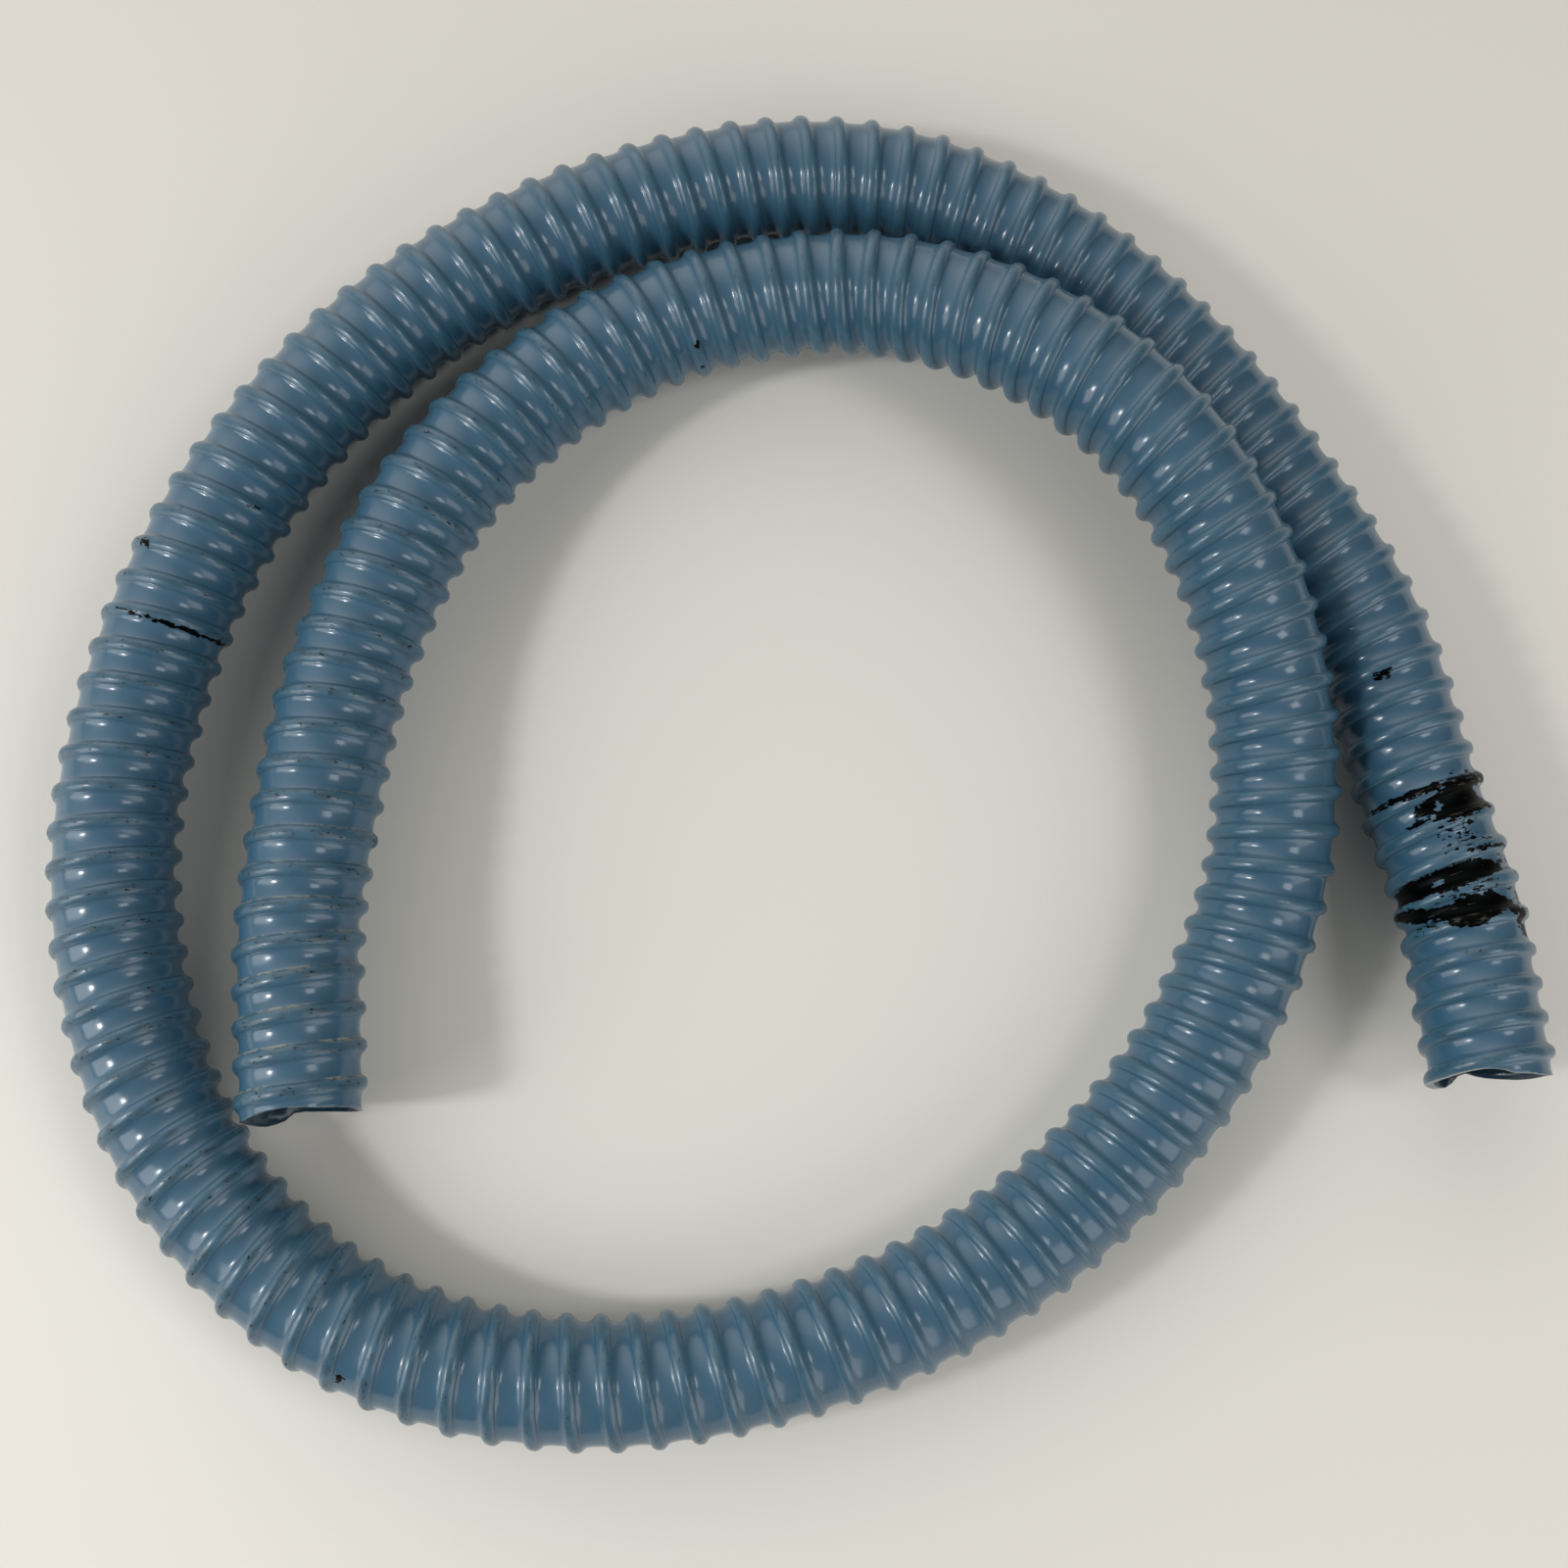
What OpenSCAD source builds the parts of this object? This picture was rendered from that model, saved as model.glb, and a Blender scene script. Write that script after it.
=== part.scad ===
// Spiral-wound vacuum hose, cut square at both ends, lying in about one and a half turns.
// A soft wall with a smooth bore carries one right-handed reinforcing helix on its outside.
// Origin: on the surface the hose lies on, under the middle of the whole part. +Z is up.

/* [Wall] */
// Inside diameter of the bore
bore_d = 31.75; // [28:0.25:36]
// Thickness of the soft wall between the turns of the helix
wall_t = 0.8; // [0.7:0.1:2]

/* [Reinforcing helix] */
// Height of the helix above the wall
rib_h = 1.75; // [1.2:0.05:2.5]
// Width of the helix at its root
rib_w = 5.2; // [3:0.1:6]
// Depth of the helix's root in the wall
rib_root = 0.2; // [0.1:0.05:0.3]
// Advance of the helix in one turn
rib_pitch = 10.05; // [9:0.05:14]
// Depth of the flat on each turn of the helix that rests on the surface
flat_depth = 0.5; // [0.1:0.1:1]

/* [Cut ends] */
// Length of the straight stretch behind each cut
end_len = 38; // [37:1:60]
// Heading of the outer end, in degrees from +X
outer_heading = -87; // [-92:1:-82]
// Rise of the outer end towards its cut, in degrees
outer_rise = 9; // [6:1:12]
// Heading of the inner end, in degrees from +X
inner_heading = -86; // [-90:1:-82]
// Rise of the inner end towards its cut, in degrees
inner_rise = 3; // [0:1:6]

/* [Hidden] */

wall_color = [0.30, 0.41, 0.49];
helix_color = [0.38, 0.51, 0.59];

bore_r = bore_d / 2;
wall_r = bore_r + wall_t;
crest_r = wall_r + rib_h;
root_r = wall_r - rib_root;
lying_h = crest_r - flat_depth;

// Sides of the wall, and of one turn of the helix. One corner points straight down.
sides = 7;
end_sides = 2 * sides;
round_fn = 96;

// Curled run between the straight ends: x, y and the lift of the axis above its lying height
route = [
    [193, -57, 10], [183, -9, 4], [171, 38, 1], [147, 82, 0], [118, 121, 0],
    [82, 154, 0], [38, 175, 0], [-8, 178, 0], [-58, 165, 0], [-102, 142, 0],
    [-138, 111, 0], [-167, 71, 0], [-185, 28, 0], [-194, -22, 0], [-189, -70, 0],
    [-171, -115, 0], [-139, -151, 0], [-97, -172, 0], [-49, -178, 0], [1, -170, 0],
    [46, -152, 0], [85, -124, 0], [116, -87, 2], [136, -41, 6], [139, 6, 12],
    [127, 53, 20], [101, 93, 25], [63, 123, 19], [18, 138, 9], [-31, 132, 4],
    [-72, 110, 3], [-105, 75, 4], [-126, 29, 5], [-135, -17, 8], [-138, -66, 10]
];
last = len(route) - 1;

function unit(v) = v / norm(v);
function heading(turn, rise) = [cos(rise) * cos(turn), cos(rise) * sin(turn), sin(rise)];

outer_dir = heading(outer_heading, outer_rise);
inner_dir = heading(inner_heading, inner_rise);

// Smooth curve through the route: each point's tangent follows its two neighbours,
// and the two end tangents follow the straight stretches.
axis_points = [for (p = route) [p.x, p.y, p.z + lying_h]];
tangents = [
    for (i = [0:last])
        i == 0 ? -outer_dir * norm(axis_points[1] - axis_points[0])
        : i == last ? inner_dir * norm(axis_points[last] - axis_points[last - 1])
        : (axis_points[i + 1] - axis_points[i - 1]) / 2
];

function curve_point(u) =
    let (i = min(floor(u), last - 1), t = u - i)
    axis_points[i] * (1 + 2 * t) * pow(1 - t, 2)
    + tangents[i] * t * pow(1 - t, 2)
    + axis_points[i + 1] * (3 - 2 * t) * pow(t, 2)
    - tangents[i + 1] * (1 - t) * pow(t, 2);

function curve_slope(u) =
    let (i = min(floor(u), last - 1), t = u - i)
    (axis_points[i + 1] - axis_points[i]) * 6 * t * (1 - t)
    + tangents[i] * (1 - t) * (1 - 3 * t)
    + tangents[i + 1] * t * (3 * t - 2);

// Arc length along the curve, as pairs of length and curve parameter
steps_per_point = 16;
step_u = 1 / steps_per_point;
chords = [for (k = [1:last * steps_per_point]) norm(curve_point(k * step_u) - curve_point((k - 1) * step_u))];
length_table = [
    for (k = 0, s = 0; k <= last * steps_per_point; s = s + (k < len(chords) ? chords[k] : 0), k = k + 1)
        [s, k * step_u]
];
run_len = length_table[len(length_table) - 1][0];

// Rings of the wall, each as its centre, its level side direction and its upward direction
ring_step = 33;
ring_count = round(run_len / ring_step);
ring_gap = run_len / ring_count;
rings = [
    for (i = [0:ring_count])
        let (
            u = lookup(i * ring_gap, length_table),
            along = unit(curve_slope(u)),
            side = unit(cross([0, 0, 1], along))
        )
        [curve_point(u), side, cross(along, side)]
];

// Centre, side and up at arc length s. Before and after the run, the axis goes on straight.
function frame_at(s) =
    s <= 0 ? [rings[0][0] + outer_dir * -s, rings[0][1], rings[0][2]]
    : s >= run_len ? [rings[ring_count][0] + inner_dir * (s - run_len), rings[ring_count][1], rings[ring_count][2]]
    : let (i = min(floor(s / ring_gap), ring_count - 1), f = s / ring_gap - i)
      rings[i] * (1 - f) + rings[i + 1] * f;

// What would reach below the surface is pressed flat on it
function seated(p) = [p.x, p.y, max(p.z, 0)];

function hose_point(s, angle, r) =
    let (frame = frame_at(s))
    seated(frame[0] + (frame[1] * cos(angle) + frame[2] * sin(angle)) * r);

// Triangles between two closed loops of n points that start at first and second
function band(first, second, n) = [
    for (j = [0:n - 1])
        let (k = (j + 1) % n)
        each [[first + j, second + j, second + k], [first + j, second + k, first + k]]
];

// Swept wall: at each ring an outer loop of corners, then the loop of the bore
module swept_wall() {
    points = [
        for (i = [0:ring_count], r = [wall_r, bore_r], j = [0:sides - 1])
            hose_point(i * ring_gap, -90 + j * 360 / sides, r)
    ];
    end = ring_count * 2 * sides;
    faces = [
        each band(sides, 0, sides),
        for (i = [0:ring_count - 1])
            let (a = i * 2 * sides, b = a + 2 * sides)
            each concat(band(a, b, sides), band(b + sides, a + sides, sides)),
        each band(end, end + sides, sides)
    ];
    polyhedron(points, faces, convexity = 10);
}

// Helix on the wall from station a to station b, with per_turn stations in each turn.
// Station 0 is where the run begins. Each section has two root corners and a crest.
run_stations = round(run_len / rib_pitch * sides);
true_pitch = run_len / run_stations * sides;
end_stations = floor((end_len - rib_w / 2) / true_pitch * end_sides);

// Stations of the run that the end nodes take over, so that no chord of the run's
// coarser helix reaches into the round bore of a straight end
taken_over = ceil(rib_w / 2 / true_pitch * sides);

function helix_section(s, angle) = [
    hose_point(s - rib_w / 2, angle, root_r),
    hose_point(s, angle, crest_r),
    hose_point(s + rib_w / 2, angle, root_r)
];

module helix(start, a, b, per_turn) {
    sections = [
        for (k = [a:b])
            let (turn = k / per_turn)
            helix_section(start + turn * true_pitch, -90 + (turn + start / true_pitch) * 360)
    ];
    points = [for (section = sections) each section];
    end = (b - a) * 3;
    faces = [
        [0, 1, 2],
        for (k = [0:b - a - 1]) each band(k * 3, k * 3 + 3, 3),
        [end + 2, end + 1, end]
    ];
    polyhedron(points, faces, convexity = 10);
}

// How far the tool of a bore runs past both faces
overrun = 1;

module straight_tube(direction) {
    turn = atan2(direction.y, direction.x);
    rise = asin(direction.z);
    rotate([0, 90 - rise, turn])
        difference() {
            cylinder(h = end_len, r = wall_r, $fn = round_fn);
            translate([0, 0, -overrun])
                cylinder(h = end_len + 2 * overrun, r = bore_r, $fn = round_fn);
        }
}

// Soft wall of the curled run
module wall_run() {
    color(wall_color)
        swept_wall();
}

// Soft wall behind the outer cut
module wall_outer_end() {
    color(wall_color)
        translate(axis_points[0])
            straight_tube(outer_dir);
}

// Soft wall behind the inner cut
module wall_inner_end() {
    color(wall_color)
        translate(axis_points[last])
            straight_tube(inner_dir);
}

// Reinforcing helix of the curled run, one unbroken rib
module helix_run() {
    color(helix_color)
        helix(0, taken_over, run_stations - taken_over, sides);
}

// Last turns of the helix before the outer cut
module helix_outer_end() {
    color(helix_color)
        helix(0, -end_stations, 2 * taken_over, end_sides);
}

// Last turns of the helix before the inner cut
module helix_inner_end() {
    color(helix_color)
        helix(run_len, -2 * taken_over, end_stations, end_sides);
}

// Clear distances that keep the hose off itself, measured on points and printed.
// Points less than three diameters apart along the hose are its own neighbourhood.
test_step = 6;
test_points = [for (s = [-end_len:test_step:run_len + end_len]) frame_at(s)[0]];
apart = ceil(3 * 2 * crest_r / test_step);
run_gap = min([
    for (i = [0:len(test_points) - 1], j = [i + apart:1:len(test_points) - 1])
        norm(test_points[i] - test_points[j])
]) - 2 * crest_r;
turn_gap = min([
    for (k = [0:run_stations - sides])
        let (s = k * true_pitch / sides, angle = -90 + k * 360 / sides)
        norm(hose_point(s + true_pitch - rib_w / 2, angle, wall_r) - hose_point(s + rib_w / 2, angle, wall_r))
]);
echo(length_mm = run_len + 2 * end_len, turns = (run_stations + end_stations) / sides);
echo(least_gap_between_runs_mm = run_gap, least_gap_between_turns_mm = turn_gap);
echo(outer_mouth = axis_points[0] + outer_dir * end_len, outer_dir = outer_dir);
echo(inner_mouth = axis_points[last] + inner_dir * end_len, inner_dir = inner_dir);

wall_run();
wall_outer_end();
wall_inner_end();
helix_run();
helix_outer_end();
helix_inner_end();
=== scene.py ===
import bmesh
import bpy
import numpy as np
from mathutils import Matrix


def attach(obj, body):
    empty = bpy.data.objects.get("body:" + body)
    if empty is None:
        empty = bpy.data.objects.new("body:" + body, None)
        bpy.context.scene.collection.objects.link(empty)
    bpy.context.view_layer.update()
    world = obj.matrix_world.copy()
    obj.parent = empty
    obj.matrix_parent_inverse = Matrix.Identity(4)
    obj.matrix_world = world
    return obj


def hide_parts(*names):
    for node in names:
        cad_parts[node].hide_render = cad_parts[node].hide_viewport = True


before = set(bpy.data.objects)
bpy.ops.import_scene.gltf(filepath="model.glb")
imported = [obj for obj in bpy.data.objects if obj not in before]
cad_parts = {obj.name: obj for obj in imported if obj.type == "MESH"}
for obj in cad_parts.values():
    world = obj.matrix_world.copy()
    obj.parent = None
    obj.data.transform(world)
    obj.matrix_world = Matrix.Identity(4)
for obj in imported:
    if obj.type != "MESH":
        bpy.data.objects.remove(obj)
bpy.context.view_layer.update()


# ---------------------------------------------------------------------------
# Camera. It looks down on the hose from half a metre up, tilted a little.
# ---------------------------------------------------------------------------
camera_data = bpy.data.cameras.new("camera")
camera_data.lens = 40.5
camera_data.sensor_width = 36.0
camera = bpy.data.objects.new("camera", camera_data)
camera.location = (-0.019, -0.089, 0.527)
camera.rotation_euler = np.radians((8.8, -1.9, 0.0))
bpy.context.scene.collection.objects.link(camera)
bpy.context.scene.camera = camera


# ---------------------------------------------------------------------------
# Wall. A soft vinyl strip, wound right-handed into a tube of 1-1/4 inch bore and
# 1.74 m long, cut off at both ends with a knife. It lies in one and a half loose
# turns: the inner turn leans up on the outer one and comes down beside it.
# ---------------------------------------------------------------------------
mm = 0.001
bore_radius = 15.875 * mm
wall = 0.8 * mm
wall_radius = bore_radius + wall
rib_height = 1.75 * mm
crest_radius = wall_radius + rib_height
pressed_flat = 0.5 * mm
end_length = 38 * mm
# Distances across from the rib's middle to its foot and to the strip's lip at it, and
# the value that marks the bore instead
foot, crack, in_bore = 1.95 * mm, -2.25 * mm, 5 * mm

# x, y and lift of the axis above its lying height, along the curled run
route = mm * np.array([
    [193, -57, 10], [183, -9, 4], [171, 38, 1], [147, 82, 0], [118, 121, 0],
    [82, 154, 0], [38, 175, 0], [-8, 178, 0], [-58, 165, 0], [-102, 142, 0],
    [-138, 111, 0], [-167, 71, 0], [-185, 28, 0], [-194, -22, 0], [-189, -70, 0],
    [-171, -115, 0], [-139, -151, 0], [-97, -172, 0], [-49, -178, 0], [1, -170, 0],
    [46, -152, 0], [85, -124, 0], [116, -87, 2], [136, -41, 6], [139, 6, 12],
    [127, 53, 20], [101, 93, 25], [63, 123, 19], [18, 138, 9], [-31, 132, 4],
    [-72, 110, 3], [-105, 75, 4], [-126, 29, 5], [-135, -17, 8], [-138, -66, 10],
])
axis_points = route + (0, 0, crest_radius - pressed_flat)


def heading(turn, rise):
    """Unit vector at an angle from +X, and at a rise above the level, in degrees."""
    turn, rise = np.radians((turn, rise))
    return np.array([np.cos(rise) * np.cos(turn), np.cos(rise) * np.sin(turn), np.sin(rise)])


outer_way = heading(-87, 9)
inner_way = heading(-86, 3)


def smooth_course(points, first_slope, last_slope, steps):
    """Cubic from point to point: the slope at each is half the step from the point
    before it to the point after it, and the two end slopes are given."""
    slopes = np.vstack([first_slope, (points[2:] - points[:-2]) / 2, last_slope])
    u = np.linspace(0, len(points) - 1, (len(points) - 1) * steps + 1)
    i = np.minimum(u.astype(int), len(points) - 2)
    t = (u - i)[:, None]
    return (points[i] * (1 + 2 * t) * (1 - t) ** 2 + slopes[i] * t * (1 - t) ** 2
            + points[i + 1] * (3 - 2 * t) * t ** 2 - slopes[i + 1] * (1 - t) * t ** 2)


steps_between = 64
curve = smooth_course(axis_points, -outer_way * np.linalg.norm(axis_points[1] - axis_points[0]),
                      inner_way * np.linalg.norm(axis_points[-1] - axis_points[-2]),
                      steps_between)
curve_steps = np.linalg.norm(np.diff(curve, axis=0), axis=1)
curve_length = np.concatenate([[0], np.cumsum(curve_steps)])
run_length = curve_length[-1]

# Stations every millimetre, with a straight stretch of axis past both cuts
beyond = 90 * mm
stations = np.arange(-beyond, run_length + beyond, mm)
centres = np.stack([np.interp(stations, curve_length, curve[:, k]) for k in range(3)], axis=1)
centres += np.maximum(-stations, 0)[:, None] * outer_way
centres += np.maximum(stations - run_length, 0)[:, None] * inner_way
along = np.gradient(centres, stations, axis=0)
along /= np.linalg.norm(along, axis=1, keepdims=True)
sides = np.cross((0, 0, 1), along)
sides /= np.linalg.norm(sides, axis=1, keepdims=True)
ups = np.cross(along, sides)
bends = np.gradient(along, stations, axis=0)
blur_width = 31
blur = np.hanning(blur_width) / np.hanning(blur_width).sum()
bends = np.stack([np.convolve(bends[:, k], blur, mode="same") for k in range(3)], axis=1)


def at_station(table, s):
    """Value of a table of vectors at lengths s along the hose, between its stations."""
    return np.stack([np.interp(s, stations, table[:, k]) for k in range(3)], axis=-1)


def outward(s, angle):
    """Direction away from the axis at length s, turned by an angle round the hose
    from its level side towards its top."""
    return (at_station(sides, s) * np.cos(angle)[..., None]
            + at_station(ups, s) * np.sin(angle)[..., None])


# The wall has sprung a little narrow at the cuts: share lost from side to side
narrow_places = np.array([-end_length, 0.0, 0.090, run_length - 0.060, run_length + end_length])
narrowed = np.array([0.040, 0.025, 0.0, 0.0, 0.020])


def on_hose(s, angle, radius):
    """Point at length s, at an angle round the hose and a radius from the axis, less
    what the wall has narrowed to the side. Nothing reaches below the table."""
    place = at_station(centres, s) + outward(s, angle) * radius[..., None]
    inwards = np.interp(s, narrow_places, narrowed) * radius * np.cos(angle)
    place -= at_station(sides, s) * inwards[..., None]
    place[..., 2] = np.maximum(place[..., 2], 0)
    return place


def stretch(s, angle):
    """How much longer than the axis the wall is at an angle: one, less the wall's
    distance towards the middle of the bend times the bend."""
    return 1 - wall_radius * np.sum(at_station(bends, s) * outward(s, angle), axis=-1)


# The rib's pitch is not quite even: closer near the outer cut, wider half way along
pitch_places = mm * np.array([
    -40, 80, 200, 320, 440, 540, 640, 740, 840, 900, 960, 1040, 1120, 1200,
    1280, 1360, 1440, 1520, 1600, 1700])
pitches = mm * np.array([
    9.57, 9.97, 9.74, 9.86, 10.05, 10.08, 10.19, 10.21, 10.56, 10.31, 10.18,
    10.08, 10.18, 9.86, 9.99, 10.03, 10.08, 10.12, 10.03, 9.99])
first_turn = 0.067
turns_per_metre = 1 / np.interp(stations, pitch_places, pitches)
turn_steps = (turns_per_metre[1:] + turns_per_metre[:-1]) / 2 * np.diff(stations)
turn_at = np.concatenate([[0], np.cumsum(turn_steps)])
turn_at += first_turn - np.interp(0, stations, turn_at)

# Rows of points lie across the strip, at even steps of its winding
sides_per_turn = 36
row = np.arange(int(np.ceil((turn_at[0] + 1) * sides_per_turn)),
                int((turn_at[-1] - 2) * sides_per_turn))
row_turn = row / sides_per_turn
row_angle = np.radians(360 * row_turn - 90)

# Where the hose bends, the rib's turns lean along it: distances that their tops shift
lean_places = mm * np.array([
    -40, 300, 520, 600, 720, 800, 860, 950, 1010, 1050, 1130, 1190, 1250, 1300, 1420, 1520,
    1700])
lean = mm * np.array([
    0, 0, -0.1, -0.4, -0.8, -0.5, 0.2, 1.2, 0.6, -0.1, 0.0, 0.9, 0.9, 0.0, -0.2, 0.0, -0.1])
pull_places, pulls = (run_length - 2 * mm, run_length + end_length), (0, 1.3 * mm)


def rib_place(turn):
    """Length along the hose of the rib's middle after a number of turns: where the
    pitch puts it, the lean there times the sine of its angle, and what the last turns
    are pulled towards the inner cut, most on the level inner side."""
    s = np.interp(turn, turn_at, stations)
    return (s + np.interp(s, lean_places, lean) * np.sin(row_angle)
            + np.interp(s, pull_places, pulls) * (1 + np.cos(row_angle)) / 2)


rib_s = rib_place(row_turn)
next_rib_s = rib_place(row_turn + 1)
rib_stretch = stretch(rib_s, row_angle)
next_rib_stretch = stretch(next_rib_s, row_angle)

# Angles round the hose, and the mm that each cut stands out there past a square cut
outer_cut = np.array([
    [0, 0.5], [20, 0.3], [40, -0.2], [56, -0.6], [70, -0.4], [80, 0.2], [90, 1.3],
    [110, 1.5], [130, 1.9], [155, 1.4], [180, 0.6], [205, 0.4], [220, 0.0], [240, -1.0],
    [256, -1.8], [264, -2.8], [272, -3.5], [280, -2.6], [290, -0.5], [300, 0.7],
    [312, 0.8], [330, 0.2], [345, 0.4], [360, 0.5]])
inner_cut = np.array([
    [0, 0.7], [10, 0.4], [20, 0.0], [40, -0.2], [60, -0.2], [75, -0.6], [95, -0.8],
    [110, -0.2], [125, 0.5], [140, 1.5], [160, 1.9], [180, 2.0], [200, 2.6], [218, 3.2],
    [230, 2.6], [241, 1.7], [248, -0.3], [260, -0.6], [280, -0.2], [300, 0.2],
    [320, 0.6], [340, 0.8], [360, 0.7]])
outer_edge = outer_cut[:, 0], -end_length - mm * outer_cut[:, 1]
inner_edge = inner_cut[:, 0], run_length + end_length + mm * inner_cut[:, 1]
around = np.degrees(row_angle) % 360
low = np.interp(around, *outer_edge)
high = np.interp(around, *inner_edge)


def trimmed(s, values):
    """Each row of values is kept between the two cuts, and what lies beyond slides
    back along its row, or along the next turn's, to the cut."""
    steps = np.diff(s, axis=1)
    changes = np.diff(values, axis=1)
    at_low, at_high = (
        values[:, 0] + (np.clip((cut[:, None] - s[:, :-1]) / steps, 0, 1) * changes).sum(axis=1)
        for cut in (low, high))
    early, late = s[:, -1] < low, s[:, 0] > high
    n = sides_per_turn
    at_low[:-n][early[:-n]] = at_low[n:][early[:-n]]
    at_high[n:][late[n:]] = at_high[:-n][late[n:]]
    values = np.where(s < low[:, None], at_low[:, None], values)
    return np.where(s > high[:, None], at_high[:, None], values)


def between_cuts(s):
    """Rows that reach into the hose's length, with one more at either end."""
    reach = (s.min(axis=1) < high) & (s.max(axis=1) > low)
    return np.arange(np.argmax(reach) - 1, len(reach) - np.argmax(reach[::-1]) + 1)


def skin(s, rise, across, radius):
    """Points of a surface over the rows: each lies at its length and its row's angle, as
    far from the axis as the radius plus its rise. With them come the marks of each point,
    its length along the hose, its angle and its distance across the rib."""
    rise = trimmed(s, rise)
    s = np.clip(s, low[:, None], high[:, None])
    keep = between_cuts(s)
    angle = np.broadcast_to(row_angle[:, None], s.shape)[keep]
    points = on_hose(s[keep], angle, radius + rise[keep])
    marks = np.stack([s[keep], angle, across[keep]], axis=-1)
    return points, marks


def sheet_faces(rows, columns, first=0, closed=False, flip=False):
    """Four-cornered faces of a sheet of points that are stored row by row."""
    i, j = np.meshgrid(np.arange(rows - 1), np.arange(columns - (not closed)),
                       indexing="ij")
    k = (j + 1) % columns
    faces = first + np.stack([i * columns + j, (i + 1) * columns + j,
                              (i + 1) * columns + k, i * columns + k], axis=-1).reshape(-1, 4)
    return faces[:, ::-1] if flip else faces


# Outlines of the black tar that has dried on the hose near the outer cut, and of the
# clean islands in it: mm from the cut and degrees round from the level inner side
tar_patches = [
    [[49.4, -14], [48.4, -12], [45.6, 2], [44.2, 20], [43.8, 40], [42.6, 50], [41.2, 60],
     [39.0, 72], [39.6, 84], [42.0, 98], [43.6, 108], [42.4, 118], [40.2, 126], [37.0, 136],
     [36.2, 150], [35.6, 162], [37.8, 164], [39.0, 150], [40.6, 140], [44.2, 130], [46.6, 120],
     [48.2, 110], [49.0, 96], [49.2, 80], [48.8, 66], [47.4, 58], [47.6, 44], [49.0, 30],
     [50.0, 10]],
    [[51.6, -14], [51.2, 0], [51.0, 26], [51.6, 44], [51.2, 62], [52.0, 80], [52.8, 96],
     [54.0, 108], [54.6, 122], [57.6, 122], [58.8, 108], [59.2, 96], [59.4, 84], [58.8, 70],
     [58.6, 56], [57.8, 44], [58.0, 30], [57.4, 12], [56.0, -10]],
    [[72.0, 76], [71.0, 96], [71.6, 112], [72.6, 124], [73.2, 140], [76.0, 142], [78.0, 130],
     [81.2, 120], [82.4, 104], [81.4, 92], [81.0, 84], [78.8, 72], [78.2, 58], [75.2, 54],
     [73.8, 66], [74.4, 72]],
]
tar_lines = [
    [[80.6, -4], [80.4, 30], [80.4, 60], [80.8, 100], [80.6, 138], [81.4, 162], [83.8, 162],
     [84.0, 138], [83.2, 100], [82.8, 60], [82.2, 24]],
    [[61.1, 84], [61.0, 120], [60.8, 150], [61.8, 150], [62.1, 120], [62.2, 86]],
    [[71.7, 40], [72.0, 54], [73.2, 66], [74.2, 60], [73.4, 42]],
    [[64.6, 84], [64.4, 108], [65.2, 112], [65.4, 86]],
    [[66.9, 84], [66.7, 100], [67.4, 104], [67.6, 86]],
]
tar_flecks = [
    [[54.0, 112], [53.6, 132], [54.4, 158], [58.6, 158], [59.4, 130], [59.6, 112]],
    [[66.8, 64], [66.8, 110], [70.4, 116], [73.6, 96], [73.2, 66]],
    [[79.4, 98], [80.0, 140], [85.4, 146], [85.4, 98]],
    [[49.0, 50], [49.4, 116], [52.6, 116], [52.2, 50]],
    [[48.4, 100], [45.0, 130], [41.0, 150], [44.0, 164], [50.0, 146], [52.0, 110]],
    [[62.6, 64], [62.4, 120], [66.2, 120], [66.2, 64]],
    [[40.0, 14], [40.0, 60], [43.4, 60], [43.0, 14]],
    [[92.2, 119], [92.2, 125], [93.2, 125], [93.2, 119]],
    [[117.6, 70], [117.6, 78], [119.0, 78], [119.0, 70]],
]
clean_islands = [
    [[75.4, 79], [75.2, 84], [77.2, 86], [77.8, 80], [76.8, 77]],
    [[53.8, 48], [54.2, 58], [55.4, 60], [55.6, 50]],
]
# Smaller smears further along the hose
smears = [
    [[616.2, -2], [617.0, 30], [617.4, 60], [618.0, 92], [617.6, 128], [618.4, 128],
     [619.0, 92], [618.6, 60], [618.2, 30], [617.4, -2]],
    [[597.6, 118], [597.8, 130], [599.4, 132], [599.6, 120]],
    [[573.6, 42], [573.8, 50], [575.6, 52], [575.8, 44]],
    [[1456.0, 34], [1456.2, 46], [1458.6, 44], [1458.4, 32]],
    [[1456.2, 10], [1456.4, 18], [1458.8, 18], [1458.4, 8]],
    [[845.6, 128], [846.0, 142], [848.4, 138], [848.0, 126]],
    [[852.8, 158], [853.0, 174], [855.6, 172], [855.2, 156]],
    [[116.6, 58], [116.8, 74], [119.4, 72], [119.0, 60]],
    [[1656.6, 0], [1657.0, 10], [1661.0, 8], [1660.4, -2]],
    [[1662.0, -12], [1663.0, -4], [1671.6, -6], [1670.4, -14]],
]
# Way round the hose at the rib's crest
mm_per_degree = np.radians(1) * 1000 * crest_radius


def depth_inside(outline, places):
    """How deep places lie inside a closed outline, in mm: the distance to its nearest
    edge, taken as negative outside."""
    corners = np.array(outline) * (1, mm_per_degree)
    following = np.roll(corners, -1, axis=0)
    nearest = np.full(len(places), np.inf)
    inside = np.zeros(len(places), bool)
    for start, end in zip(corners, following):
        edge = end - start
        share = np.clip((places - start) @ edge / (edge @ edge), 0, 1)
        away = np.linalg.norm(places - start - share[:, None] * edge, axis=1)
        nearest = np.minimum(nearest, away)
        passes = (start[1] > places[:, 1]) != (end[1] > places[:, 1])
        run = np.where(passes, (places[:, 1] - start[1]) / (edge[1] + 1e-12), 0)
        inside ^= passes & (places[:, 0] < start[0] + run * edge[0])
    return np.where(inside, nearest, -nearest)


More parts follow.
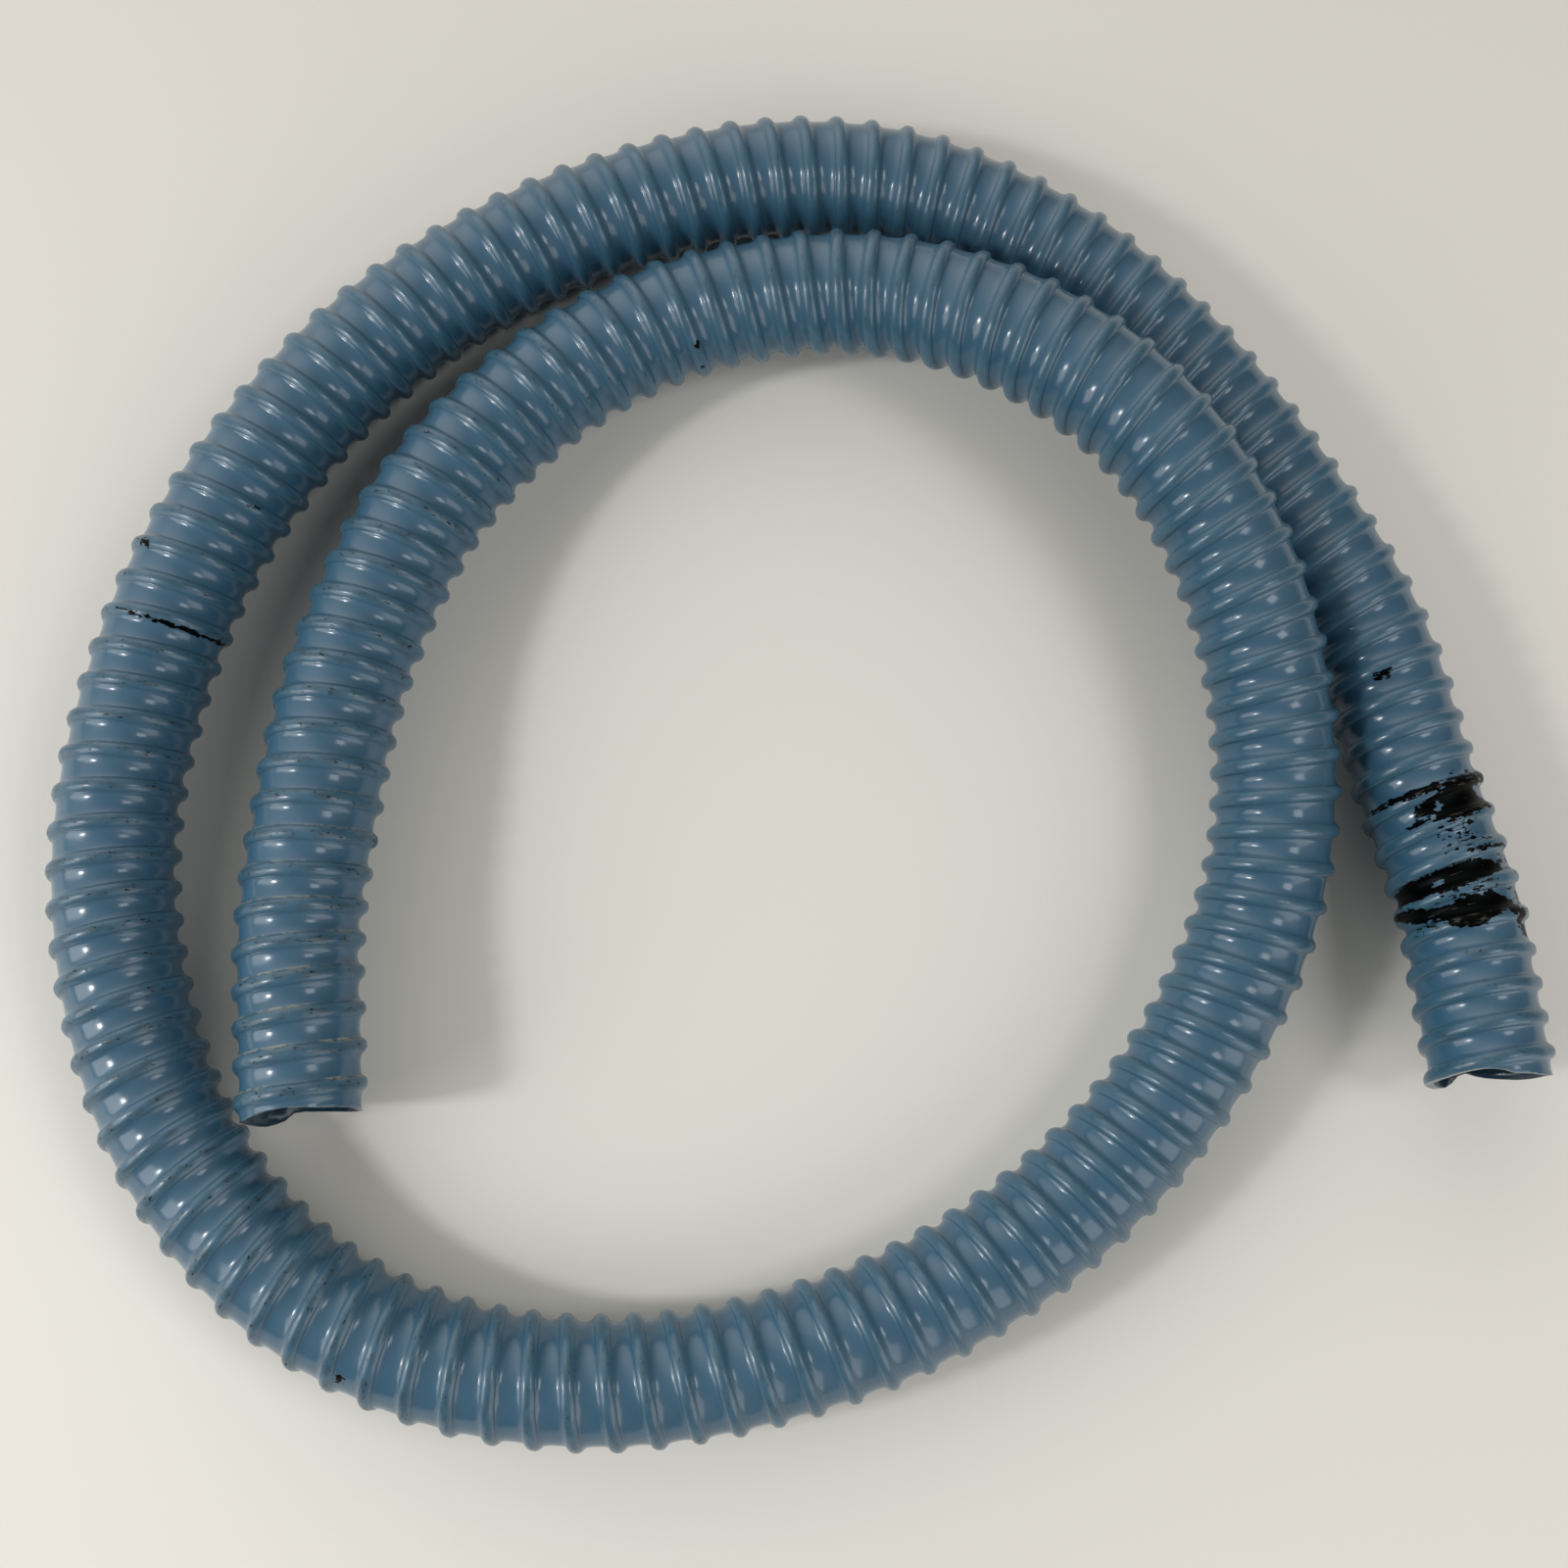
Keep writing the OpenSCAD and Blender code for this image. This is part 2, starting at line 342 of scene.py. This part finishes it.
# No tar is looked for further from an outline than this, in mm, and each kind of outline
# is at most so deep
tar_reach = 4.0
tar_kinds = ((tar_patches, 3.0), (tar_lines, 0.60), (tar_flecks, -0.16), (smears, 0.60))


def tar_depth(marks):
    """Depth inside the tar's outlines at each point, in mm. Lines are shallow, and
    flecks are shallower than their edge, so that only a ragged edge shows them."""
    places = np.stack([1000 * (marks[:, 0] + end_length),
                       (np.degrees(marks[:, 1]) + 90) % 360 - 90], axis=1)
    places[:, 1] *= mm_per_degree
    depth = np.full(len(places), -tar_reach)
    for outlines, deepest in tar_kinds:
        for outline in outlines:
            length = np.array(outline)[:, 0]
            near = np.nonzero((places[:, 0] > length.min() - tar_reach)
                              & (places[:, 0] < length.max() + tar_reach))[0]
            here = depth_inside(outline, places[near])
            depth[near] = np.maximum(depth[near], np.minimum(here, deepest))
    for outline in clean_islands:
        depth = np.minimum(depth, -depth_inside(outline, places))
    return np.maximum(depth, -tar_reach)


def amount_at(s, table):
    """Amount at length s from a table of mm from the outer cut and amounts."""
    table = np.array(table)
    return np.interp(1000 * (s + end_length), table[:, 0], table[:, 1])


# How much grey-green grime the rib's top holds, how much cream scale its lip holds, and
# how dark the shade painted into the lip's crease is
grime_along = [[0, 0.55], [40, 0.5], [60, 0.25], [300, 0.15], [560, 0.3], [640, 0.9],
               [820, 0.95], [900, 0.5], [1000, 0.25], [1300, 0.2], [1480, 0.5], [1580, 0.9],
               [1740, 0.9]]
scale_along = [[0, 0.0], [1635, 0.0], [1660, 0.5], [1740, 1.0]]
painted_crease_shade_along = [[0, 0.06], [40, 0.10], [60, 0.25], [100, 0.42], [1600, 0.42], [1650, 0.30],
                [1740, 0.25]]
grime_middle, grime_width = -0.1 * mm, 1.4 * mm
scale_width = 0.5 * mm
scale_at_cuts = 0.45
# How dark the shade painted into the foot's crease and inside the bore is
painted_shade_at_foot, painted_shade_in_bore = 0.22, 0.70
# Points this near to a line or a cut lie on it
on_line, on_cut = 0.1 * mm, 0.05 * mm


def wear_on(marks):
    """Tar, grime and cream scale at each point: the tar's depth in mm, grime that is most
    on the upper side of the rib's top, and scale beside the lip and at both cut edges."""
    s, angle, across = marks.T
    upper = np.clip(0.5 + 0.9 * np.sin(angle), 0, 1)
    grime_band = np.clip(1.3 - np.abs(across - grime_middle) / grime_width, 0, 1)
    scale_band = np.clip(1.2 - np.abs(across - crack) / scale_width, 0, 1)
    grime = amount_at(s, grime_along) * grime_band * upper
    scale = amount_at(s, scale_along) * scale_band * upper
    from_cut = np.minimum(s - np.interp(np.degrees(angle) % 360, *outer_edge),
                          np.interp(np.degrees(angle) % 360, *inner_edge) - s)
    at_edge = scale_at_cuts * ((from_cut < on_cut) & (across != in_bore))
    return np.stack([tar_depth(marks), grime, np.maximum(scale, at_edge)], axis=-1)


def painted_shade_on(marks):
    """Painted shade at each point: darkening painted into the crease at the rib's lip, into
    the softer one at its foot, and inside the bore, where shade falls."""
    s, angle, across = marks.T
    at_lip = amount_at(s, painted_crease_shade_along) * (np.abs(across - crack) < on_line)
    at_foot = painted_shade_at_foot * (np.abs(across - foot) < on_line)
    return np.maximum(at_lip, np.maximum(at_foot, painted_shade_in_bore * (across == in_bore)))


# Points nearer than this are one
same_place = 2e-7


def vinyl_piece(name, points, marks, faces, smooth, material):
    """Mesh object at the origin, with the marks of its points, what lies on them and the
    shade painted on them as attributes. Faces that aren't smooth keep their shading from the
    rest."""
    mesh = bpy.data.meshes.new(name)
    mesh.from_pydata(points.tolist(), [], faces.tolist())
    for label, values in (("hose", marks), ("wear", wear_on(marks))):
        attribute = mesh.attributes.new(label, "FLOAT_VECTOR", "POINT")
        attribute.data.foreach_set("vector", values.ravel())
    # Painted shade: how far the colour is darkened in creases and in the bore
    attribute = mesh.attributes.new("painted_shade", "FLOAT", "POINT")
    attribute.data.foreach_set("value", painted_shade_on(marks))
    mesh.polygons.foreach_set("use_smooth", smooth)
    work = bmesh.new()
    work.from_mesh(mesh)
    bmesh.ops.remove_doubles(work, verts=work.verts, dist=same_place)
    bmesh.ops.recalc_face_normals(work, faces=work.faces)
    work.to_mesh(mesh)
    work.free()
    mesh.materials.append(material)
    piece = bpy.data.objects.new(name, mesh)
    bpy.context.scene.collection.objects.link(piece)
    return piece


def wander(seed, per_turn):
    """Smooth random run of values along the winding, between -1 and 1: drawn a number of
    times in each turn, and eased from each to the next by half a cosine."""
    count = int(len(row) / sides_per_turn * per_turn) + 3
    knots = np.random.default_rng(seed).uniform(-1, 1, count)
    u = np.arange(len(row)) / sides_per_turn * per_turn
    i = u.astype(int)
    t = (1 - np.cos(np.pi * (u - i))) / 2
    return knots[i] * (1 - t) + knots[i + 1] * t


# Section of the strip from the rib's far foot to its lip on the next turn: share of
# the way, and height over the wall where the hose is straight
strip_share = np.array([
    0, 0.05, 0.11, 0.19, 0.30, 0.43, 0.57, 0.70, 0.82, 0.90, 0.95, 0.98, 1.0])
strip_rise = mm * np.array([
    0.66, 0.40, 0.19, 0.03, -0.09, -0.16, -0.18, -0.145, -0.06, 0.06, 0.19, 0.31, 0.40])
# Width of the strip that its marks count in, from the foot and from the lip
strip_from_foot, strip_from_lip = 5.85 * mm, 6.35 * mm
# On the inside of a bend the strip folds in, and on the outside it is pulled flat
folds_in, pulled_out, fold_wander = 4.8 * mm, 1.2 * mm, 0.04 * mm
fold_roundness = 1.4
short = 1 - (rib_stretch + next_rib_stretch) / 2
fold = np.where(short > 0, folds_in, pulled_out) * short + fold_wander * wander(3, 5)
fold_share = np.sin(np.pi * strip_share) ** fold_roundness

gap_from = rib_s + foot / rib_stretch
gap_to = next_rib_s + crack / next_rib_stretch
s = np.concatenate([(rib_s + crack / rib_stretch)[:, None],
                    gap_from[:, None] + strip_share * (gap_to - gap_from)[:, None]], axis=1)
rise = np.concatenate([np.full((len(row), 1), strip_rise[-1]),
                       strip_rise - fold[:, None] * fold_share], axis=1)
lip_wander = 0.03 * mm
rise[:, -3:] += lip_wander * wander(5, 9)[:, None] * (0.4, 1, 1)
# Distance across, from the middle of the rib before in the first half of the strip,
# and from the middle of the next rib in the second half
across = np.where(strip_share < 0.5, foot + strip_share * strip_from_foot,
                  crack - (1 - strip_share) * strip_from_lip)
across = np.broadcast_to(np.concatenate([[crack], across]), s.shape)
outer_points, outer_marks = skin(s, rise, across, wall_radius)

bore_s = np.stack([rib_s, (gap_from + gap_to) / 2, next_rib_s], axis=1)
bore_rise = np.stack([0 * fold, strip_rise.min() - fold, 0 * fold], axis=1)
bore_across = np.full(bore_s.shape, in_bore)
bore_points, bore_marks = skin(bore_s, bore_rise, bore_across, bore_radius)

# At a cut, the outer skin's ring is marked as half way into the bore
both_skins = ((s, rise, wall_radius, in_bore / 2), (bore_s, bore_rise, bore_radius, in_bore))


def cut_ring(cut):
    """Two rings of points at a cut, of the outer skin and of the bore, and their marks:
    each row of a skin that reaches the cut gives the point where it does."""
    rings = []
    for skin_s, skin_rise, radius, at in both_skins:
        hit = np.nonzero((skin_s[:, 0] <= cut) & (skin_s[:, -1] > cut))[0]
        hit = hit[np.argsort(row[hit] % sides_per_turn)]
        share = np.clip((cut[hit, None] - skin_s[hit, :-1]) / np.diff(skin_s[hit], axis=1), 0, 1)
        height = skin_rise[hit, 0] + (share * np.diff(skin_rise[hit], axis=1)).sum(axis=1)
        angle = np.radians(360 * (row[hit] % sides_per_turn) / sides_per_turn - 90)
        rings.append((on_hose(cut[hit], row_angle[hit], radius + height),
                      np.stack([cut[hit], angle, np.full(len(hit), at)], axis=-1)))
    return np.stack([r[0] for r in rings]), np.stack([r[1] for r in rings])


rim_a, rim_a_marks = cut_ring(low)
rim_b, rim_b_marks = cut_ring(high)
parts = [outer_points, bore_points, rim_a, rim_b]
part_marks = [outer_marks, bore_marks, rim_a_marks, rim_b_marks]
firsts = np.cumsum([0] + [p.size // 3 for p in parts])
wall_faces = [sheet_faces(*outer_points.shape[:2]),
              sheet_faces(*bore_points.shape[:2], first=firsts[1], flip=True),
              sheet_faces(2, sides_per_turn, first=firsts[2], closed=True),
              sheet_faces(2, sides_per_turn, first=firsts[3], closed=True)]


def add_node(tree, kind, inputs=(), **settings):
    """Node of a kind with its settings. Each input, by name or number, is a plain value
    or the output of another node."""
    new = tree.nodes.new(kind)
    for name, value in settings.items():
        setattr(new, name, value)
    for name, value in dict(inputs).items():
        if isinstance(value, bpy.types.NodeSocket):
            tree.links.new(value, new.inputs[name])
        else:
            new.inputs[name].default_value = value
    return new


def calc(tree, operation, *values):
    """Output of a Math node that works on the values in order."""
    return add_node(tree, "ShaderNodeMath", enumerate(values), operation=operation).outputs[0]


def ramp(tree, value, start, end):
    """Smooth step of a value, from 0 at the start to 1 at the end."""
    return add_node(tree, "ShaderNodeMapRange",
                    {"Value": value, "From Min": start, "From Max": end},
                    interpolation_type="SMOOTHSTEP").outputs["Result"]


def blend(tree, share, under, over):
    """Colour that goes from the one under to the one over as the share goes to 1."""
    mix = add_node(tree, "ShaderNodeMix", {"Factor": share}, data_type="RGBA")
    for socket, value in ((mix.inputs[6], under), (mix.inputs[7], over)):
        if isinstance(value, bpy.types.NodeSocket):
            tree.links.new(value, socket)
        else:
            socket.default_value = value
    return mix.outputs[2]


def grain(tree, place, size, detail, scaled=(1, 1, 1)):
    """Noise between 0 and 1 with grains of a size in metres. An axis that is scaled to
    less than one draws them out along it."""
    place = add_node(tree, "ShaderNodeVectorMath",
                     {0: place, 1: tuple(v / size for v in scaled)},
                     operation="MULTIPLY").outputs[0]
    return add_node(tree, "ShaderNodeTexNoise",
                    {"Vector": place, "Scale": 1.0, "Detail": detail}).outputs["Fac"]


# Used vinyl: mottled, with painted shade in creases and bore, and tar, grime and scale on it
tar_black = (0.0045, 0.0050, 0.0052, 1)
tar_dust = (0.075, 0.062, 0.052, 1)
grime_colour = (0.014, 0.030, 0.032, 1)
scale_cream = (0.420, 0.400, 0.290, 1)

used_vinyl = bpy.data.node_groups.new("used_vinyl", "ShaderNodeTree")
sockets = {
    "INPUT": {"Vinyl": "Color", "Vinyl Roughness": "Float", "Scuffing": "Float",
              "Hose": "Vector", "Wear": "Vector", "Painted Shade": "Float"},
    "OUTPUT": {"Colour": "Color", "Roughness": "Float", "Height": "Float", "Haze": "Float",
               "Tar": "Float"},
}
for way, labels in sockets.items():
    for label, kind in labels.items():
        used_vinyl.interface.new_socket(label, in_out=way, socket_type="NodeSocket" + kind)
given = used_vinyl.nodes.new("NodeGroupInput").outputs
result = used_vinyl.nodes.new("NodeGroupOutput").inputs


def product(first, *others):
    """Product of values inside the used vinyl."""
    for other in others:
        first = calc(used_vinyl, "MULTIPLY", first, other)
    return first


def total(first, *others):
    """Sum of values inside the used vinyl."""
    for other in others:
        first = calc(used_vinyl, "ADD", first, other)
    return first


def free_of(share):
    """One less a share, inside the used vinyl."""
    return calc(used_vinyl, "SUBTRACT", 1.0, share)


def step(value, start, end):
    """Smooth step of a value from start to end, inside the used vinyl."""
    return ramp(used_vinyl, value, start, end)


place = add_node(used_vinyl, "ShaderNodeTexCoord").outputs["Object"]
hose = add_node(used_vinyl, "ShaderNodeSeparateXYZ", {0: given["Hose"]}).outputs
wear = add_node(used_vinyl, "ShaderNodeSeparateXYZ", {0: given["Wear"]}).outputs
# The skin laid out flat: length along the hose, and way round it at the rib's crest
laid_out = add_node(used_vinyl, "ShaderNodeCombineXYZ",
                    {"X": hose["X"], "Y": product(hose["Y"], crest_radius)}).outputs[0]

mottle = grain(used_vinyl, place, 12 * mm, 3)
ragged = grain(used_vinyl, place, 1.6 * mm, 5)
patches = grain(used_vinyl, place, 8.5 * mm, 1)
ripple = grain(used_vinyl, laid_out, 4 * mm, 1, (1, 0.6, 1))
scratch = grain(used_vinyl, laid_out, 0.35 * mm, 2, (1, 0.06, 1))
brushed = grain(used_vinyl, laid_out, 0.8 * mm, 3, (1, 0.18, 1))
speckle = grain(used_vinyl, laid_out, 2.2 * mm, 5, (1, 0.35, 1))
specks = grain(used_vinyl, laid_out, 0.6 * mm, 2, (1, 0.30, 1))
cracks = grain(used_vinyl, laid_out, 0.9 * mm, 3, (1, 0.25, 1))

# Tar whose edge, in mm, breaks up along the rib's way, and specks of it in the grime
edge = total(product(total(ragged, -0.5), 2.6), product(total(brushed, -0.5), 2.4))
soil = product(wear["Y"], step(speckle, 0.38, 0.62))
flecks = product(soil, 1.6, step(specks, 0.60, 0.68))
tar = calc(used_vinyl, "MAXIMUM", step(total(wear["X"], edge), 0.0, 0.12),
           calc(used_vinyl, "MINIMUM", flecks, 1.0))
scale = product(wear["Z"], step(ragged, 0.36, 0.56), step(patches, 0.38, 0.58))

# Colour from the vinyl up: its painted shade in creases and bore and its mottle, the
# grime, the scale, and the tar, which is cracked and dusty on the rib's top
# Painted shade: the vinyl is darkened by the crease and bore shade, and mottled
painted_shade_and_mottle = product(free_of(given["Painted Shade"]), total(product(mottle, 0.20), 0.90))
mottled_painted_shade_vinyl = add_node(used_vinyl, "ShaderNodeVectorMath", {0: given["Vinyl"], 3: painted_shade_and_mottle},
                  operation="SCALE").outputs[0]
soiled = blend(used_vinyl, product(soil, 0.55), mottled_painted_shade_vinyl, grime_colour)
chalky = blend(used_vinyl, product(scale, 0.85), soiled, scale_cream)
on_top = step(calc(used_vinyl, "ABSOLUTE", hose["Z"]), 1.9 * mm, 0.8 * mm)
tar_colour = blend(used_vinyl, product(on_top, step(cracks, 0.54, 0.66)), tar_black, tar_dust)

# Height in mm: the vinyl's ripple, scratches along the rib, and the tar's thickness
height = total(product(ripple, 0.013), product(scratch, given["Scuffing"], 0.003),
               product(tar, 0.06))
rough = total(given["Vinyl Roughness"], product(soil, 0.20),
              product(step(mottle, 0.45, 0.70), 0.05), product(tar, 0.25))

# Haze of fine dust and handling on the upper side, a little patchy, less where there is
# grime and none on the tar
upper = step(calc(used_vinyl, "SINE", hose["Y"]), 0.35, 0.95)
haze = total(product(total(product(mottle, 0.5), 0.55), upper), 0.08)
haze = product(haze, free_of(product(soil, 0.5)), free_of(tar))

for label, value in (("Colour", blend(used_vinyl, tar, chalky, tar_colour)), ("Roughness", rough),
                     ("Height", height), ("Haze", haze), ("Tar", tar)):
    used_vinyl.links.new(value, result[label])


def vinyl_material(name, colour, roughness, scuffing):
    """Used vinyl of a colour and roughness, with so much scuffing along the rib: glossy,
    under a dull coat as strong as the haze."""
    material = bpy.data.materials.new(name)
    material.use_nodes = True
    tree = material.node_tree
    read = {label: add_node(tree, "ShaderNodeAttribute", attribute_name=label).outputs
            for label in ("hose", "wear", "painted_shade")}
    worn = add_node(tree, "ShaderNodeGroup", node_tree=used_vinyl)
    worn.inputs["Vinyl"].default_value = (*colour, 1)
    worn.inputs["Vinyl Roughness"].default_value = roughness
    worn.inputs["Scuffing"].default_value = scuffing
    tree.links.new(read["hose"]["Vector"], worn.inputs["Hose"])
    tree.links.new(read["wear"]["Vector"], worn.inputs["Wear"])
    # Painted shade of the creases and the bore
    tree.links.new(read["painted_shade"]["Fac"], worn.inputs["Painted Shade"])
    shader = tree.nodes["Principled BSDF"]
    bump = add_node(tree, "ShaderNodeBump", {"Height": worn.outputs["Height"], "Distance": mm})
    tree.links.new(bump.outputs["Normal"], shader.inputs["Normal"])
    # Tar reflects only as much as its own black, which Metallic gives
    for label, socket in (("Colour", "Base Color"), ("Roughness", "Roughness"),
                          ("Haze", "Coat Weight"), ("Tar", "Metallic")):
        tree.links.new(worn.outputs[label], shader.inputs[socket])
    shader.inputs["Coat Roughness"].default_value = 0.60
    shader.inputs["Specular IOR Level"].default_value = 0.42
    return material


wall_vinyl = vinyl_material("wall_vinyl", (0.040, 0.115, 0.186), 0.16, 0.0)

# The strip under the rib is out of sight, and the rims have a sharp edge
wall_smooth = [np.arange(len(wall_faces[0])) % (outer_points.shape[1] - 1) > 0,
               np.ones(len(wall_faces[1]), bool), np.zeros(2 * sides_per_turn, bool)]
soft_wall = vinyl_piece("soft_wall", np.vstack([p.reshape(-1, 3) for p in parts]),
                        np.vstack([m.reshape(-1, 3) for m in part_marks]),
                        np.vstack(wall_faces), np.concatenate(wall_smooth), wall_vinyl)
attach(soft_wall, "root")
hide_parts("wall_run", "wall_outer_end", "wall_inner_end")


# ---------------------------------------------------------------------------
# Helix. One hard vinyl rib, right-handed and rounded, welded under the strip's two
# edges as they are wound, so that it stands out of the wall from cut to cut.
# ---------------------------------------------------------------------------
# Section of the rib from its lip over its top to its foot: distance across, and height
# over the wall
rib_across = mm * np.array([
    -2.25, -2.12, -1.85, -1.4, -0.85, -0.2, 0.45, 1.0, 1.45, 1.8, 1.95])
rib_rise = mm * np.array([
    0.38, 0.62, 1.06, 1.44, 1.67, 1.75, 1.71, 1.51, 1.20, 0.86, 0.68])
root_rise = -0.5 * mm
rib_wander = 0.03
ring_across = np.concatenate([rib_across, [foot, crack]])
rib_rows_s = rib_s[:, None] + ring_across / rib_stretch[:, None]
rib_top_rise = rib_rise * (1 + rib_wander * wander(8, 4)[:, None])
top = len(rib_across)
trimmed_top = trimmed(rib_rows_s[:, :top], rib_top_rise)
rib_rows_rise = np.concatenate([trimmed_top, np.full((len(row), 2), root_rise)], axis=1)
rib_clipped = np.clip(rib_rows_s, low[:, None], high[:, None])
keep = between_cuts(rib_clipped)
rib_angle = np.broadcast_to(row_angle[:, None], rib_clipped.shape)[keep]
rib_points = on_hose(rib_clipped[keep], rib_angle, wall_radius + rib_rows_rise[keep])
rib_marks = np.stack([rib_clipped[keep], rib_angle,
                      np.broadcast_to(ring_across, rib_angle.shape)], axis=-1)

helix_vinyl = vinyl_material("helix_vinyl", (0.041, 0.118, 0.184), 0.20, 1.0)

# The root inside the wall is out of sight and keeps its corners
rib_faces = sheet_faces(*rib_points.shape[:2], closed=True)
rib_smooth = np.arange(len(rib_faces)) % len(ring_across) < top - 1
helix = vinyl_piece("helix", rib_points.reshape(-1, 3), rib_marks.reshape(-1, 3), rib_faces,
                    rib_smooth, helix_vinyl)
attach(helix, "root")
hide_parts("helix_run", "helix_outer_end", "helix_inner_end")


# ---------------------------------------------------------------------------
# Table, lamps and room. A pale matt table top under four soft lamps, in a room whose
# walls glow a little.
# ---------------------------------------------------------------------------
table_reach = 2.0
table_mesh = bpy.data.meshes.new("table")
table_mesh.from_pydata([(x * table_reach, y * table_reach, 0)
                        for x, y in ((-1, -1), (1, -1), (1, 1), (-1, 1))], [], [(0, 1, 2, 3)])
table_top = bpy.data.objects.new("table", table_mesh)
paper = bpy.data.materials.new("paper")
paper.use_nodes = True
paper_shader = paper.node_tree.nodes["Principled BSDF"]
paper_shader.inputs["Base Color"].default_value = (0.86, 0.83, 0.765, 1)
paper_shader.inputs["Roughness"].default_value = 0.8
table_mesh.materials.append(paper)
bpy.context.scene.collection.objects.link(table_top)


def lamp(name, lean, turn, size, light, distance=1.6):
    """Soft square lamp that faces the middle of the table from a distance, at a lean from
    upright and a turn from +X, in degrees. It gives the table so much of a full white's
    light."""
    lean, turn = np.radians((lean, turn))
    data = bpy.data.lights.new(name, "AREA")
    data.size = size
    data.energy = np.pi ** 2 * light * distance ** 2 / np.cos(lean)
    source = bpy.data.objects.new(name, data)
    source.location = distance * np.array([
        np.sin(lean) * np.cos(turn), np.sin(lean) * np.sin(turn), np.cos(lean)])
    source.rotation_euler = (0, lean, turn)
    bpy.context.scene.collection.objects.link(source)


lamp("left_lamp", 48, 192, 0.20, 0.16)
lamp("left_panel", 64, 199, 0.80, 0.16, distance=1.3)
lamp("right_panel", 32, 355, 0.48, 0.12)
lamp("front_right_panel", 62, 318, 1.20, 0.14)

# The room's pale walls glow softly, most at the back left and a little at the front
# right, and a camera sees them as plain as the table
seen_glow = 0.70
world = bpy.data.worlds.new("room")
world.use_nodes = True
room = world.node_tree
way_out = add_node(room, "ShaderNodeTexCoord").outputs["Generated"]


def wall_glow(lean, turn, strength):
    """Strength of light from a side of the room: its strength times the fourth power of
    the cosine between the way out and the middle of that side."""
    lean, turn = np.radians((lean, turn))
    middle = (np.sin(lean) * np.cos(turn), np.sin(lean) * np.sin(turn), np.cos(lean))
    facing = add_node(room, "ShaderNodeVectorMath", {0: way_out, 1: middle},
                      operation="DOT_PRODUCT").outputs["Value"]
    fourth = calc(room, "POWER", calc(room, "MAXIMUM", facing, 0.0), 4.0)
    return calc(room, "MULTIPLY", fourth, strength)


glow = calc(room, "ADD", wall_glow(65, 116, 1.60), wall_glow(65, 315, 0.42))
seen = add_node(room, "ShaderNodeLightPath").outputs["Is Camera Ray"]
to_seen = calc(room, "MULTIPLY", seen, calc(room, "SUBTRACT", seen_glow, glow))
room.links.new(calc(room, "ADD", glow, to_seen), room.nodes["Background"].inputs["Strength"])
room.nodes["Background"].inputs["Color"].default_value = (1.0, 0.99, 0.96, 1)
bpy.context.scene.world = world
bpy.context.scene.view_settings.view_transform = "Standard"
